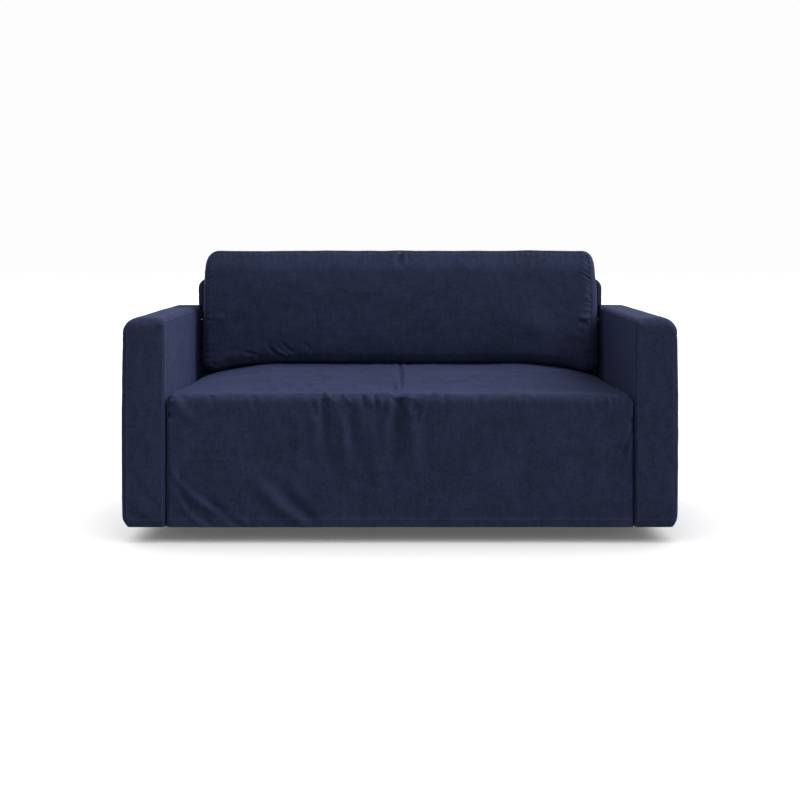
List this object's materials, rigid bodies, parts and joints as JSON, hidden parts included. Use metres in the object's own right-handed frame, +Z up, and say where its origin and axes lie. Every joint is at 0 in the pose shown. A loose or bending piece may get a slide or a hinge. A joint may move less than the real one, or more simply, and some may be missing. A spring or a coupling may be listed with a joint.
{
  "type": "sofa slipcover",
  "caption": "Fitted navy cloth slipcover for a small sofa with square arms: boxed arms, outer and inner back, crowned seat with a hanging front apron, and a loose back cushion case; hollow inside",
  "frame": {"origin": "centre of the rectangle that the hem encloses, at the height of the hem", "axes": "+X is the right side seen from the front, +Y is the rear, +Z is up"},
  "size_m": [1.616, 0.806, 0.7955],
  "materials": {
    "cover_cloth": "navy brushed cotton cloth, matt with a soft nap"
  },
  "bodies": {
    "root": {"arm_left_band": "cover_cloth", "arm_left_outer": "cover_cloth", "arm_left_inner": "cover_cloth", "arm_right_band": "cover_cloth", "arm_right_outer": "cover_cloth", "arm_right_inner": "cover_cloth", "seat_gusset_left": "cover_cloth", "seat_gusset_right": "cover_cloth", "seat_cover": "cover_cloth", "back_outer": "cover_cloth", "back_band": "cover_cloth", "back_inner": "cover_cloth", "cushion_front": "cover_cloth", "cushion_back": "cover_cloth", "cushion_boxing": "cover_cloth"}
  },
  "joints": []
}
